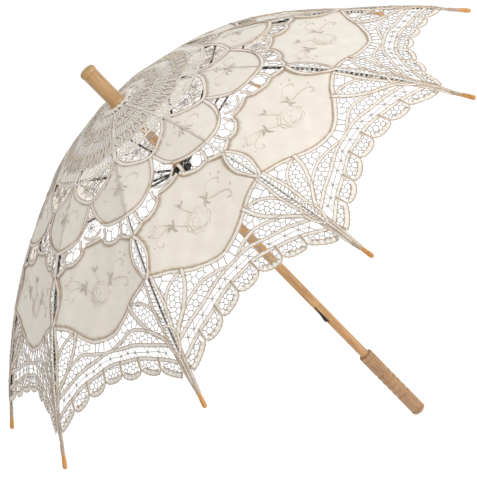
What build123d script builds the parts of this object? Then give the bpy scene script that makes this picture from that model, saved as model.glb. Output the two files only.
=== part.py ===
from build123d import *
import math
import os

os.makedirs("parts", exist_ok=True)

# Lace parasol, standing upright and open: +Z runs up the shaft to the ferrule.
# The origin is on the shaft axis, in the middle of the grip. Lengths are in millimetres.

# ---- driving dimensions -------------------------------------------------------------
RIB_COUNT = 10
CANOPY_R = 400.0              # radius to the canopy's outermost line, at the rib tips
CANOPY_DROP = 219.0           # crown down to that line
DOME_POWER = 2.05             # the canopy falls with the radius to this power
CROWN_Z = 540.0               # where the canopy meets the shaft
SHAFT_R = 6.2

CANOPY_THICK = 0.8
CANOPY_GAP = 0.5              # canopy underside to rib
PANEL_EDGE_GAP = 0.3          # each panel stops this far short of the rib plane
PANEL_START = 22.5            # inner edge of a panel
CROWN_DISC_R = 22.0
HEM_MIDDLE = 352.0            # hem at mid-panel, as a radius along the ribs
HEM_CORNER = 388.0            # hem where it reaches a rib
BEAD_STATION = 390.0          # where the wooden tips start

RIB_WIDTH = 1.8
RIB_DEPTH = 2.8
HINGE_R = 10.0                # radius of the crown wire
HINGE_DROP = 4.0              # crown wire below the crown
RIVET_R = 185.0               # rib to stretcher rivet, from the shaft axis
BEAD_LENGTH = 17.5
BEAD_R = 2.8
BEAD_NECK_R = 2.1
CLOSED_TIP_R = 12.5           # end of a rib tip from the axis, folded

RUNNER_R = 9.8                # radius of the runner wire
RUNNER_DROP = 116.0           # runner wire below the crown, open
WIRE_R = 0.6
EYE_R = 1.9
EYE_HOLE_R = 0.78
PIN_R = 0.75
PIN_HOLE_R = 0.80

HUB_R = 12.5                  # outside of the notch and of the runner head
SLOT_WIDTH = 2.3
NOTCH_TOP = -CANOPY_THICK
NOTCH_HEIGHT = 7.2
HEAD_ABOVE = 6.0              # runner head above and below its wire
HEAD_BELOW = 7.0
TUBE_R = 7.4
TUBE_BORE_R = 6.3

CATCH_ANGLE = 234.0           # both catches sit between two ribs
CATCH_WIDTH = 2.4
CATCH_LENGTH = 20.0
CATCH_NOSE_R = 10.0           # how far the nose stands out
CATCH_PIVOT_R = 3.6
CATCH_SLOT_WIDTH = 2.8
PIN_SHORT = 0.15              # each end of a catch pin stops this far inside the shaft
LOWER_CATCH_DROP = 402.0      # nose of the lower catch below the crown

HANDLE_R = 9.8
HANDLE_TOP = -480.0           # heights from the crown
HANDLE_END = -596.0
SOCKET_DEPTH = 40.0
FERRULE_LENGTH = 60.0
FERRULE_R = 10.3
FERRULE_SOCKET = 30.0

# ---- shape of the ribs and the fold --------------------------------------------------
RIB_BELOW_CANOPY = CANOPY_THICK + CANOPY_GAP + RIB_DEPTH / 2
STEP_ANGLE = 360.0 / RIB_COUNT
HALF_STEP = STEP_ANGLE / 2


def canopy_slope(radius):
    """Angle at which the canopy falls over a rib."""
    rate = CANOPY_DROP * DOME_POWER / CANOPY_R
    return math.atan(rate * (radius / CANOPY_R) ** (DOME_POWER - 1))


def canopy_point(radius, depth=0.0):
    """Point at a depth under the canopy's top over a rib, as (radius, height from crown)."""
    slope = canopy_slope(radius)
    height = -CANOPY_DROP * (radius / CANOPY_R) ** DOME_POWER
    return radius - depth * math.sin(slope), height - depth * math.cos(slope)


def rib_point(radius, offset=0.0):
    """A point of the rib's middle line, moved off it by offset."""
    return canopy_point(radius, RIB_BELOW_CANOPY - offset)


tip_slope = canopy_slope(BEAD_STATION)
bead_start_r, bead_start_z = rib_point(BEAD_STATION)
tip_radius = bead_start_r + BEAD_LENGTH * math.cos(tip_slope)
tip_drop = -bead_start_z + BEAD_LENGTH * math.sin(tip_slope)

rivet_x, rivet_z = rib_point(RIVET_R)
rivet_chord = math.hypot(rivet_x - HINGE_R, rivet_z + HINGE_DROP)
tip_chord = math.hypot(tip_radius - HINGE_R, tip_drop - HINGE_DROP)
fold_angle = math.acos((CLOSED_TIP_R - HINGE_R) / tip_chord) - math.atan2(
    tip_drop - HINGE_DROP, tip_radius - HINGE_R
)
closed_rivet_angle = math.atan2(-rivet_z - HINGE_DROP, rivet_x - HINGE_R) + fold_angle
closed_rivet_x = HINGE_R + rivet_chord * math.cos(closed_rivet_angle)
closed_rivet_z = -HINGE_DROP - rivet_chord * math.sin(closed_rivet_angle)
stretcher_length = math.hypot(rivet_x - RUNNER_R, rivet_z + RUNNER_DROP)
stretcher_slope = math.atan2(rivet_z + RUNNER_DROP, rivet_x - RUNNER_R)
closed_runner_drop = -closed_rivet_z + math.sqrt(
    stretcher_length**2 - (closed_rivet_x - RUNNER_R) ** 2
)
runner_travel = closed_runner_drop - RUNNER_DROP

LOOP_R = 1.5
WINDOW_BOTTOM = LOWER_CATCH_DROP + 2 * LOOP_R + 0.4 - closed_runner_drop
WINDOW_TOP = WINDOW_BOTTOM - CATCH_LENGTH - 5.0
TUBE_END = WINDOW_BOTTOM + 6.0
UPPER_CATCH_DROP = RUNNER_DROP + TUBE_END + 0.4


def direction(angle):
    """Unit vector that points out from the shaft at an angle in degrees."""
    return Vector(math.cos(math.radians(angle)), math.sin(math.radians(angle)), 0)


def radial_plane(angle):
    """Upright plane through the shaft: x runs outwards, y up from the crown."""
    out = direction(angle)
    return Plane(origin=(0, 0, CROWN_Z), x_dir=out, z_dir=(out.Y, -out.X, 0))


def level(height):
    """Level plane at a height from the crown."""
    return Plane.XY.offset(CROWN_Z + height)


def save(solid, name):
    solid.label = name
    export_step(solid, f"parts/{name}.step")


# ---- shaft, ferrule, handle ----------------------------------------------------------
shaft_foot = HANDLE_TOP - SOCKET_DEPTH
catch_side = radial_plane(CATCH_ANGLE)
LOWER_PIVOT_Z = -LOWER_CATCH_DROP + CATCH_LENGTH
UPPER_PIVOT_Z = -UPPER_CATCH_DROP - CATCH_LENGTH
SLOT_FLOOR_R = 1.2
SLOT_MARGIN = 3.0
stop_pin_z = -RUNNER_DROP + HEAD_ABOVE + 1.2

with BuildPart() as shaft:
    with BuildSketch(level(shaft_foot)):
        Circle(SHAFT_R)
    extrude(amount=FERRULE_SOCKET - shaft_foot)
    chamfer(shaft.edges().filter_by(GeomType.CIRCLE), length=0.6)
    for nose_z, pivot_z in (
        (-LOWER_CATCH_DROP - 2 * LOOP_R, LOWER_PIVOT_Z),
        (-UPPER_CATCH_DROP, UPPER_PIVOT_Z),
    ):
        low = min(nose_z, pivot_z) - SLOT_MARGIN
        high = max(nose_z, pivot_z) + SLOT_MARGIN
        with BuildSketch(catch_side):
            with Locations(((SLOT_FLOOR_R + SHAFT_R + 1) / 2, (low + high) / 2)):
                Rectangle(SHAFT_R + 1 - SLOT_FLOOR_R, high - low)
        extrude(amount=CATCH_SLOT_WIDTH / 2, both=True, mode=Mode.SUBTRACT)
        with BuildSketch(catch_side):
            with Locations((CATCH_PIVOT_R, pivot_z)):
                Circle(PIN_R)
        extrude(amount=SHAFT_R, both=True, mode=Mode.SUBTRACT)
    with BuildSketch(radial_plane(0)):
        with Locations((0, stop_pin_z)):
            Circle(1.0)
    extrude(amount=SHAFT_R + 1, both=True, mode=Mode.SUBTRACT)
save(shaft.part, "shaft")

with BuildPart() as ferrule:
    with BuildSketch(radial_plane(0)):
        with BuildLine():
            foot = Polyline(
                (0, 0), (FERRULE_R + 1.0, 0), (FERRULE_R + 1.0, 1.4), (FERRULE_R - 0.3, 5.0)
            )
            side = Spline(
                foot @ 1,
                (FERRULE_R - 0.1, 0.45 * FERRULE_LENGTH),
                (FERRULE_R, 0.85 * FERRULE_LENGTH),
            )
            crown = RadiusArc(side @ 1, (FERRULE_R - 4.2, FERRULE_LENGTH - 0.9), -5.2)
            Line(crown @ 1, (0, FERRULE_LENGTH))
            Line((0, FERRULE_LENGTH), (0, 0))
        make_face()
    revolve(axis=Axis.Z)
    with BuildSketch(level(0)):
        Circle(SHAFT_R)
    extrude(amount=FERRULE_SOCKET, mode=Mode.SUBTRACT)
save(ferrule.part, "ferrule")

GROOVE_DEPTH = 1.3
GROOVE_R = 3.2                # how widely the finger grooves are rounded
GROOVE_COUNT = 5
GROOVE_TILT = 7.0
GRIP_TOP = HANDLE_TOP - 35.0
RING_INSET = 6.8              # turned rings, from each end of the handle
RING_DEPTH = 0.7
RING_R = 1.0
GRIP_PITCH = 10.5
with BuildPart() as handle:
    with BuildSketch(radial_plane(0)):
        with BuildLine():
            rim = Polyline(
                (0, HANDLE_TOP), (HANDLE_R - 0.6, HANDLE_TOP), (HANDLE_R, HANDLE_TOP - 1.0)
            )
            wall = Line(rim @ 1, (HANDLE_R, HANDLE_END + 4.0))
            shoulder = RadiusArc(wall @ 1, (HANDLE_R - 3.4, HANDLE_END + 0.6), 3.8)
            Line(shoulder @ 1, (0, HANDLE_END))
            Line((0, HANDLE_END), (0, HANDLE_TOP))
        make_face()
    revolve(axis=Axis.Z)
    with BuildSketch(level(HANDLE_TOP)):
        Circle(SHAFT_R)
    extrude(amount=-SOCKET_DEPTH, mode=Mode.SUBTRACT)
    for ring_z in (HANDLE_TOP - RING_INSET, HANDLE_END + RING_INSET):
        with Locations((0, 0, CROWN_Z + ring_z)):
            Torus(HANDLE_R + RING_R - RING_DEPTH, RING_R, mode=Mode.SUBTRACT)
    for number in range(GROOVE_COUNT):
        with Locations(Location((0, 0, CROWN_Z + GRIP_TOP - number * GRIP_PITCH), (GROOVE_TILT, 0, 0))):
            Torus(HANDLE_R + GROOVE_R - GROOVE_DEPTH, GROOVE_R, mode=Mode.SUBTRACT)
save(handle.part, "handle")

with BuildPart() as stop_pin:
    with BuildSketch(radial_plane(0)):
        with Locations((0, stop_pin_z)):
            Circle(1.0)
    extrude(amount=SHAFT_R + 2.2, both=True)
save(stop_pin.part, "stop_pin")

# ---- crown: notch, its wire and the crown disc ---------------------------------------


def slotted_hub(top, height, bore_r, wire_z, wire_r):
    """Ring with one slot for each rib and a groove for the wire that they hang on."""
    with BuildPart() as hub:
        with BuildSketch(level(top)):
            Circle(HUB_R)
            Circle(bore_r, mode=Mode.SUBTRACT)
        extrude(amount=-height)
        chamfer(hub.edges().group_by(Axis.Z)[-1].sort_by(SortBy.RADIUS)[-1], length=0.8)
        slot_start = wire_r - EYE_R - 0.25
        with BuildSketch(level(top)):
            with PolarLocations((slot_start + HUB_R + 1) / 2, RIB_COUNT):
                Rectangle(HUB_R + 1 - slot_start, SLOT_WIDTH)
        extrude(amount=-height, mode=Mode.SUBTRACT)
        with BuildSketch(level(wire_z - WIRE_R - 0.1)):
            Circle(HUB_R + 1)
            Circle(wire_r - WIRE_R - 0.1, mode=Mode.SUBTRACT)
        extrude(amount=2 * WIRE_R + 0.2, mode=Mode.SUBTRACT)
    return hub.part


def wire_ring(radius, height):
    with BuildPart() as wire:
        with Locations((0, 0, CROWN_Z + height)):
            Torus(radius, WIRE_R)
    return wire.part


save(slotted_hub(NOTCH_TOP, NOTCH_HEIGHT, SHAFT_R, -HINGE_DROP, HINGE_R), "crown_notch")
save(wire_ring(HINGE_R, -HINGE_DROP), "crown_wire")

with BuildPart() as crown_disc:
    with BuildSketch(level(0)):
        Circle(CROWN_DISC_R)
        Circle(SHAFT_R, mode=Mode.SUBTRACT)
    extrude(amount=-CANOPY_THICK)
save(crown_disc.part, "crown_disc")

# ---- runner --------------------------------------------------------------------------
head_top = -RUNNER_DROP + HEAD_ABOVE
head_height = HEAD_ABOVE + HEAD_BELOW
save(slotted_hub(head_top, head_height, TUBE_R, -RUNNER_DROP, RUNNER_R), "runner_head")
save(wire_ring(RUNNER_R, -RUNNER_DROP), "runner_wire")

WINDOW_WIDTH = 4.0
with BuildPart() as runner_tube:
    with BuildSketch(level(head_top)):
        Circle(TUBE_R)
        Circle(TUBE_BORE_R, mode=Mode.SUBTRACT)
    extrude(amount=-(HEAD_ABOVE + TUBE_END))
    with BuildSketch(catch_side):
        with Locations((HUB_R, -RUNNER_DROP - (WINDOW_TOP + WINDOW_BOTTOM) / 2)):
            Rectangle(2 * HUB_R, WINDOW_BOTTOM - WINDOW_TOP)
    extrude(amount=WINDOW_WIDTH / 2, both=True, mode=Mode.SUBTRACT)
save(runner_tube.part, "runner_tube")

# ---- catches -------------------------------------------------------------------------


def catch(pivot_z, way):
    """Sprung catch: way is -1 where its nose points down the shaft, 1 where it points up."""
    nose = pivot_z + way * CATCH_LENGTH
    with BuildPart() as leaf:
        with BuildSketch(catch_side):
            with BuildLine():
                Polyline(
                    (CATCH_PIVOT_R - 1.0, pivot_z + way),
                    (CATCH_PIVOT_R + 1.3, pivot_z + way * 0.6),
                    (CATCH_NOSE_R - 0.9, nose - way * 3.5),
                    (CATCH_NOSE_R, nose - way * 1.0),
                    (CATCH_NOSE_R - 0.4, nose),
                    (SHAFT_R - 0.2, nose),
                    (CATCH_PIVOT_R - 1.0, pivot_z + way),
                )
            make_face()
            with Locations((CATCH_PIVOT_R, pivot_z)):
                Circle(1.7)
            if way < 0:
                with Locations((CATCH_NOSE_R - 1.8, nose + way * (LOOP_R - 0.2))):
                    Circle(LOOP_R)
        extrude(amount=CATCH_WIDTH / 2, both=True)
        with BuildSketch(catch_side):
            with Locations((CATCH_PIVOT_R, pivot_z)):
                Circle(PIN_HOLE_R)
            if way < 0:
                with Locations((CATCH_NOSE_R - 1.8, nose + way * (LOOP_R - 0.2))):
                    Circle(LOOP_R - 0.7)
        extrude(amount=CATCH_WIDTH, both=True, mode=Mode.SUBTRACT)
    return leaf.part


pin_reach = math.sqrt(SHAFT_R**2 - (CATCH_PIVOT_R + PIN_R) ** 2)


def catch_pin(pivot_z):
    with BuildPart() as pin:
        with BuildSketch(catch_side):
            with Locations((CATCH_PIVOT_R, pivot_z)):
                Circle(PIN_R)
        extrude(amount=pin_reach - PIN_SHORT, both=True)
    return pin.part


save(catch(LOWER_PIVOT_Z, -1), "lower_catch")
save(catch(UPPER_PIVOT_Z, 1), "upper_catch")
save(catch_pin(LOWER_PIVOT_Z), "lower_catch_pin")
save(catch_pin(UPPER_PIVOT_Z), "upper_catch_pin")

# ---- ribs ----------------------------------------------------------------------------
RIB_STATIONS = (35, 85, 140, 200, 260, 320)
FLUTE_WIDTH = 0.9
FLUTE_DEPTH = 1.6
TENON_R = 1.1
TENON_LENGTH = 9.0
TENON_ROOT = 4.0


def rib_edges(first, last, low, high):
    """Upper and lower edge of the rib between two radii, at two offsets from its middle line."""
    middle = [r for r in RIB_STATIONS if first + 10 < r < last - 10]
    radii = [first, *middle, last]
    upper = [rib_point(r, high) for r in radii]
    lower = [rib_point(r, low) for r in reversed(radii)]
    return upper, lower


def rib(angle):
    plane = radial_plane(angle)
    half = RIB_DEPTH / 2
    with BuildPart() as bar:
        with BuildSketch(plane):
            with BuildLine():
                upper, lower = rib_edges(RIB_STATIONS[0], BEAD_STATION - 1, -half, half)
                top = Spline(upper)
                underside = Spline(lower)
                Line(top @ 1, underside @ 0)
                Line(underside @ 1, top @ 0)
            make_face()
            with BuildLine():
                Polyline(
                    (HINGE_R, -HINGE_DROP + half),
                    rib_point(RIB_STATIONS[0], half),
                    rib_point(RIB_STATIONS[0], -half),
                    (HINGE_R, -HINGE_DROP - half),
                    (HINGE_R, -HINGE_DROP + half),
                )
            make_face()
            with Locations((HINGE_R, -HINGE_DROP)):
                Circle(EYE_R)
        extrude(amount=RIB_WIDTH / 2, both=True)
        for first, last in ((45.0, RIVET_R - 8), (RIVET_R + 8, BEAD_STATION - 12)):
            with BuildSketch(plane):
                with BuildLine():
                    upper, lower = rib_edges(first, last, -half - 0.4, -half + FLUTE_DEPTH)
                    roof = Spline(upper)
                    mouth = Spline(lower)
                    Line(roof @ 1, mouth @ 0)
                    Line(mouth @ 1, roof @ 0)
                make_face()
            extrude(amount=FLUTE_WIDTH / 2, both=True, mode=Mode.SUBTRACT)
        with BuildSketch(plane):
            with Locations((HINGE_R, -HINGE_DROP)):
                Circle(EYE_HOLE_R)
            with Locations((rivet_x, rivet_z)):
                Circle(PIN_HOLE_R)
        extrude(amount=RIB_WIDTH, both=True, mode=Mode.SUBTRACT)
        with BuildSketch(bead_plane(angle, across=True).offset(-TENON_ROOT)):
            Circle(TENON_R)
        extrude(amount=TENON_LENGTH + TENON_ROOT)
    return bar.part


def bead_plane(angle, across=False):
    """Plane at the inner end of a rib tip: x along the tip, or z along it if across."""
    out = direction(angle)
    start = out * bead_start_r + Vector(0, 0, CROWN_Z + bead_start_z)
    along = out * math.cos(tip_slope) - Vector(0, 0, math.sin(tip_slope))
    side = Vector(out.Y, -out.X, 0)
    if across:
        return Plane(origin=start, x_dir=side, z_dir=along)
    return Plane(origin=start, x_dir=along, z_dir=side)


def rib_tip(angle):
    """Turned wooden end with a thread hole across it."""
    plane = bead_plane(angle)
    with BuildPart() as bead:
        with BuildSketch(plane):
            with BuildLine():
                dome_start = BEAD_LENGTH - BEAD_R
                Spline((0, BEAD_NECK_R), (0.4 * dome_start, BEAD_R - 0.15), (dome_start, BEAD_R))
                CenterArc((dome_start, 0), BEAD_R, 0, 90)
                Polyline((BEAD_LENGTH, 0), (0, 0), (0, BEAD_NECK_R))
            make_face()
        revolve(axis=Axis(plane.origin, plane.x_dir))
        with BuildSketch(bead_plane(angle, across=True)):
            Circle(TENON_R)
        extrude(amount=TENON_LENGTH, mode=Mode.SUBTRACT)
        with BuildSketch(plane):
            with Locations((0.65 * BEAD_LENGTH, 0)):
                Circle(0.5)
        extrude(amount=2 * BEAD_R, both=True, mode=Mode.SUBTRACT)
    return bead.part


# ---- stretchers, each with its rivet -------------------------------------------------
EAR_GAP = 0.2
EAR_THICK = 0.6
EAR_R = 1.5
FORK_LENGTH = 14.0
FORK_THROAT = 10.5
BAR_HEIGHT = 2.4
BAR_WIDTH = 2.4
TONGUE_LENGTH = 16.0
TONGUE_WIDTH = 1.7
RIVET_HEAD_R = 1.3
RIVET_HEAD = 0.5
OPEN_PIVOT_GAP = 0.5          # tongue end to runner wire
fork_half_width = RIB_WIDTH / 2 + EAR_GAP + EAR_THICK


def stretcher_plane(angle):
    """Plane at the rivet: x runs down the stretcher to the runner."""
    out = direction(angle)
    start = out * rivet_x + Vector(0, 0, CROWN_Z + rivet_z)
    inward = -out * math.cos(stretcher_slope) - Vector(0, 0, math.sin(stretcher_slope))
    return Plane(origin=start, x_dir=inward, z_dir=(out.Y, -out.X, 0))


def bar_face(start, end):
    with Locations(((start + end) / 2, 0)):
        Rectangle(end - start, BAR_HEIGHT)


def stretcher(angle):
    plane = stretcher_plane(angle)
    tongue_end = stretcher_length - WIRE_R - OPEN_PIVOT_GAP
    tongue_start = stretcher_length - TONGUE_LENGTH
    with BuildPart() as bar:
        with BuildSketch(plane):
            Circle(EAR_R)
            bar_face(0, FORK_LENGTH)
        extrude(amount=fork_half_width, both=True)
        with BuildSketch(plane):
            with Locations((FORK_THROAT / 2 - EAR_R, 0)):
                Rectangle(FORK_THROAT + 2 * EAR_R, 2 * BAR_HEIGHT)
        extrude(amount=RIB_WIDTH / 2 + EAR_GAP, both=True, mode=Mode.SUBTRACT)
        with BuildSketch(plane):
            bar_face(FORK_LENGTH - 1, tongue_start + 1)
        extrude(amount=BAR_WIDTH / 2, both=True)
        with BuildSketch(plane):
            bar_face(tongue_start, tongue_end)
        extrude(amount=TONGUE_WIDTH / 2, both=True)
        with BuildSketch(plane):
            with Locations(((FORK_LENGTH + tongue_start) / 2, -BAR_HEIGHT / 2)):
                Rectangle(tongue_start - FORK_LENGTH - 8, BAR_HEIGHT)
        extrude(amount=BAR_WIDTH / 4, both=True, mode=Mode.SUBTRACT)
        with BuildSketch(plane):
            Circle(PIN_R)
        extrude(amount=2 * fork_half_width, both=True, mode=Mode.SUBTRACT)
    return bar.part


def rivet(angle):
    plane = stretcher_plane(angle)
    with BuildPart() as pin:
        with BuildSketch(plane):
            Circle(PIN_R)
        extrude(amount=fork_half_width, both=True)
        for side in (-1, 1):
            with BuildSketch(plane.offset(side * fork_half_width)):
                Circle(RIVET_HEAD_R)
            extrude(amount=side * RIVET_HEAD)
    return pin.part


# ---- canopy panels -------------------------------------------------------------------
cos_half = math.cos(math.radians(HALF_STEP))
sin_half = math.sin(math.radians(HALF_STEP))
PANEL_RADII = (60.0, 120.0, 180.0, 240.0, 300.0, 350.0)
hem_depth = (HEM_CORNER - HEM_MIDDLE) * cos_half
hem_half_chord = HEM_CORNER * sin_half
hem_arc_r = (hem_half_chord**2 + hem_depth**2) / (2 * hem_depth)


def panel_edge(depth):
    """Points down the middle of a panel, at a depth under its top."""
    radii = [PANEL_START / cos_half, *PANEL_RADII, HEM_CORNER + 6]
    points = [canopy_point(r, depth) for r in radii]
    return [(x * cos_half, z) for x, z in points]


def canopy_panel(angle):
    """Gore between two ribs: straight across, curved down its length, with a hollow hem."""
    plane = radial_plane(angle)
    with BuildPart() as panel:
        with BuildSketch(plane):
            with BuildLine():
                top = Spline(panel_edge(0))
                below = Spline(list(reversed(panel_edge(CANOPY_THICK))))
                Line(top @ 1, below @ 0)
                Line(below @ 1, top @ 0)
            make_face()
        extrude(amount=hem_half_chord + 10, both=True)
        out = direction(angle)
        flat = Plane(origin=(0, 0, CROWN_Z - tip_drop - 20), x_dir=out, z_dir=(0, 0, 1))
        with BuildSketch(flat):
            with BuildLine():
                reach = HEM_CORNER + 20
                corner = (reach * cos_half, reach * sin_half - PANEL_EDGE_GAP / cos_half)
                root_x = PANEL_EDGE_GAP / sin_half
                Polyline((root_x, 0), corner, (corner[0], -corner[1]), (root_x, 0))
            make_face()
            with Locations((HEM_MIDDLE * cos_half + hem_arc_r, 0)):
                Circle(hem_arc_r, mode=Mode.SUBTRACT)
        extrude(amount=tip_drop + 40, mode=Mode.INTERSECT)
    return panel.part


for number in range(1, RIB_COUNT + 1):
    rib_angle = (number - 1) * STEP_ANGLE
    save(rib(rib_angle), f"rib_{number:02d}")
    save(rib_tip(rib_angle), f"rib_tip_{number:02d}")
    pair = Compound(children=[stretcher(rib_angle), rivet(rib_angle)])
    save(pair, f"stretcher_{number:02d}")
    save(canopy_panel(rib_angle + HALF_STEP), f"canopy_panel_{number:02d}")

print(f"fold {math.degrees(fold_angle):.3f} deg, runner travel {runner_travel:.3f}")
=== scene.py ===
import math

import bpy
import numpy as np
from mathutils import Matrix, Vector, geometry


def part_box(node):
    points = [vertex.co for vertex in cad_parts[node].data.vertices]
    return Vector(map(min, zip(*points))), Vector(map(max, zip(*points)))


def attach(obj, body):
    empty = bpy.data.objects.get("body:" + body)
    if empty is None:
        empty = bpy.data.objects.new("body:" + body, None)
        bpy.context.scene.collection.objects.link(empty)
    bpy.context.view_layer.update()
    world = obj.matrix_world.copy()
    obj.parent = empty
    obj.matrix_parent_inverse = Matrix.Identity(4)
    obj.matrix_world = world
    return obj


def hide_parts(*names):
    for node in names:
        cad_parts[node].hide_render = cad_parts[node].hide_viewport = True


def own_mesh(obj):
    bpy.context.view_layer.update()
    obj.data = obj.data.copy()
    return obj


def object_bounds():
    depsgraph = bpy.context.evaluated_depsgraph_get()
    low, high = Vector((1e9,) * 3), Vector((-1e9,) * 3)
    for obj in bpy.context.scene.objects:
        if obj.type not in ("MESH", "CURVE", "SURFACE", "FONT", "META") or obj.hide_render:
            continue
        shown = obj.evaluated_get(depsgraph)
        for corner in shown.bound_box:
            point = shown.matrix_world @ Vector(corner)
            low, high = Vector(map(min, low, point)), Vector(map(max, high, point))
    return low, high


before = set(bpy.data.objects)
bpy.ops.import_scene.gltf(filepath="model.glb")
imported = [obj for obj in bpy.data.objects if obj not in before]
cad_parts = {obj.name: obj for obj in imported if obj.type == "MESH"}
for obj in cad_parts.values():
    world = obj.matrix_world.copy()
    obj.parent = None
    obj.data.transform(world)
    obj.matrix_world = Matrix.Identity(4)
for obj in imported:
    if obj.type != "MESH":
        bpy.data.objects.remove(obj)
cad_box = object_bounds()

# Lace is drawn flat, one gore at a time, in millimetres: across from the gore's middle line,
# along the ribs from the crown, and lift off the canopy. Then it is laid on the dome.

MM = 0.001
GORES = 10
STEP = 2 * math.pi / GORES
HALF = STEP / 2
CROWN_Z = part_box("crown_disc")[1].z / MM
DOME_R = 400.0
DOME_DROP = 219.0
DOME_POWER = 2.05
SAG = 3.0                       # how far the middle of a gore hangs in at the hem
SAG_AT = 400.0
RNG = np.random.default_rng(11)

# ---- the dome ------------------------------------------------------------------------------

radii = np.linspace(0.0, 412.0, 1649)
falls = DOME_DROP * (radii / DOME_R) ** DOME_POWER
lengths = np.concatenate([[0.0], np.cumsum(np.hypot(np.diff(radii), np.diff(falls)))])


def radius_at(along):
    """Distance from the shaft of the rib's point at this length from the crown."""
    return np.interp(along, lengths, radii)


def rib_line(along):
    """Half the gore's width at this length from the crown."""
    return radius_at(along) * math.sin(HALF)


def lay(points, angle):
    """Flat points (across, along, lift) on the gore whose middle is at this angle, in metres."""
    across, along, lift = points.T
    radius = radius_at(along)
    share = np.clip(across / np.maximum(rib_line(along), 1.0), -1, 1)
    lift = lift - SAG * (1 - share**2) * np.clip(along / SAG_AT, 0, 1) ** 2
    slope = DOME_DROP * DOME_POWER / DOME_R * (radius / DOME_R) ** (DOME_POWER - 1)
    slope = slope / math.cos(HALF)
    size = np.hypot(1, slope)
    out = radius * math.cos(HALF) + lift * slope / size
    up = CROWN_Z - DOME_DROP * (radius / DOME_R) ** DOME_POWER + lift / size
    c, s = math.cos(angle), math.sin(angle)
    return np.stack([out * c - across * s, out * s + across * c, up], 1) * MM


# ---- flat drawing --------------------------------------------------------------------------


class Flat:
    """A piece of lace before it is laid: points, faces of one size each, and their finish."""

    def __init__(self):
        self.points = []
        self.faces = []
        self.count = 0
        self.first = 0

    def add(self, points, faces, finish):
        self.first = self.count
        self.points.append(np.asarray(points, float))
        self.count += len(points)
        self.add_faces(faces, finish)

    def add_faces(self, faces, finish):
        """More faces on the points that were added last."""
        self.faces.append((np.asarray(faces, int) + self.first, finish))


def curve(points, step=2.0):
    """A smooth line through points, cut into even steps."""
    p = np.array(points, float)
    p = np.vstack([2 * p[0] - p[1], p, 2 * p[-1] - p[-2]])
    t = np.linspace(0, 1, 16, endpoint=False)[:, None]
    spans = []
    for a, b, c, d in zip(p[:-3], p[1:-2], p[2:-1], p[3:]):
        spans.append(
            0.5 * (2 * b + (c - a) * t + (2 * a - 5 * b + 4 * c - d) * t**2
                   + (3 * b - a - 3 * c + d) * t**3)
        )
    line = np.vstack([*spans, p[-2:-1]])
    return even(line, step)


def even(line, step):
    """The same line with points a step apart."""
    gone = np.concatenate([[0], np.cumsum(np.linalg.norm(np.diff(line, axis=0), axis=1))])
    at = np.linspace(0, gone[-1], max(3, round(gone[-1] / step) + 1))
    return np.stack([np.interp(at, gone, line[:, i]) for i in range(line.shape[1])], 1)


def mirrored(points, side):
    """The points as drawn for side 1, or across the gore's middle line for side -1."""
    return np.array(points, float) * [side, 1]


def normals(line):
    d = np.gradient(line, axis=0)
    d /= np.maximum(np.linalg.norm(d, axis=1), 1e-9)[:, None]
    return np.stack([-d[:, 1], d[:, 0]], 1)


def inside(points, outline):
    """Which points lie in the closed outline."""
    x, y = points[:, 0][:, None], points[:, 1][:, None]
    x0, y0 = outline.T
    x1, y1 = np.roll(outline, -1, axis=0).T
    crosses = (y0 > y) != (y1 > y)
    at = x0 + (y - y0) * (x1 - x0) / np.where(y1 == y0, 1e-9, y1 - y0)
    return (crosses & (x < at)).sum(1) % 2 == 1


def scatter(points, amount, seed=0.0):
    """A small shift for each point that depends only on where the point is."""
    k = np.round(points, 2)
    a = np.sin(k[:, 0] * 12.9898 + k[:, 1] * 78.233 + seed) * 43758.5453
    b = np.sin(k[:, 0] * 39.346 + k[:, 1] * 11.135 + seed) * 24634.6345
    return points + (np.stack([a, b], 1) % 1 - 0.5) * 2 * amount


def quads(rows, cols, closed=False):
    """Four-sided faces over rows of points; closed rows are rings."""
    i, j = np.meshgrid(np.arange(rows - 1), np.arange(cols if closed else cols - 1), indexing="ij")
    k = (j + 1) % cols
    return np.stack([i * cols + j, i * cols + k, (i + 1) * cols + k, (i + 1) * cols + j], -1)


def thicken(flat, top, faces, thick, finish):
    """A closed sheet: the faces, the same faces a thickness below, and walls round the rim."""
    count = len(top)
    sides = {(int(p), int(q)) for p, q in zip(faces.ravel(), np.roll(faces, -1, axis=1).ravel())}
    rim = np.array([(p, q) for p, q in sorted(sides) if (q, p) not in sides])
    walls = np.c_[rim[:, 1], rim[:, 0], rim[:, 0] + count, rim[:, 1] + count]
    flat.add(np.vstack([top, top - [0, 0, thick]]), np.vstack([faces, faces[:, ::-1] + count]), finish)
    flat.add_faces(walls, finish)


# A tape's section, from edge to edge: how far across, how high, and whether the edge cord.
TAPE = [(-1.0, 0.1), (-0.93, 0.85), (-0.72, 0.9), (-0.62, 0.25), (-0.3, 0.45), (0.0, 0.38),
        (0.3, 0.45), (0.62, 0.25), (0.72, 0.9), (0.93, 0.85), (1.0, 0.1), (0.5, -0.25), (-0.5, -0.25)]
TAPE_EDGE = (0, 1, 2, 7, 8, 9)
SATIN = [(-1.0, 0.0), (-0.6, 0.75), (0.0, 0.62), (0.6, 0.75), (1.0, 0.0), (0.0, -0.3)]
TAPE_STEP = 1.9                 # from rib to rib of a tape's weave


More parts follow.
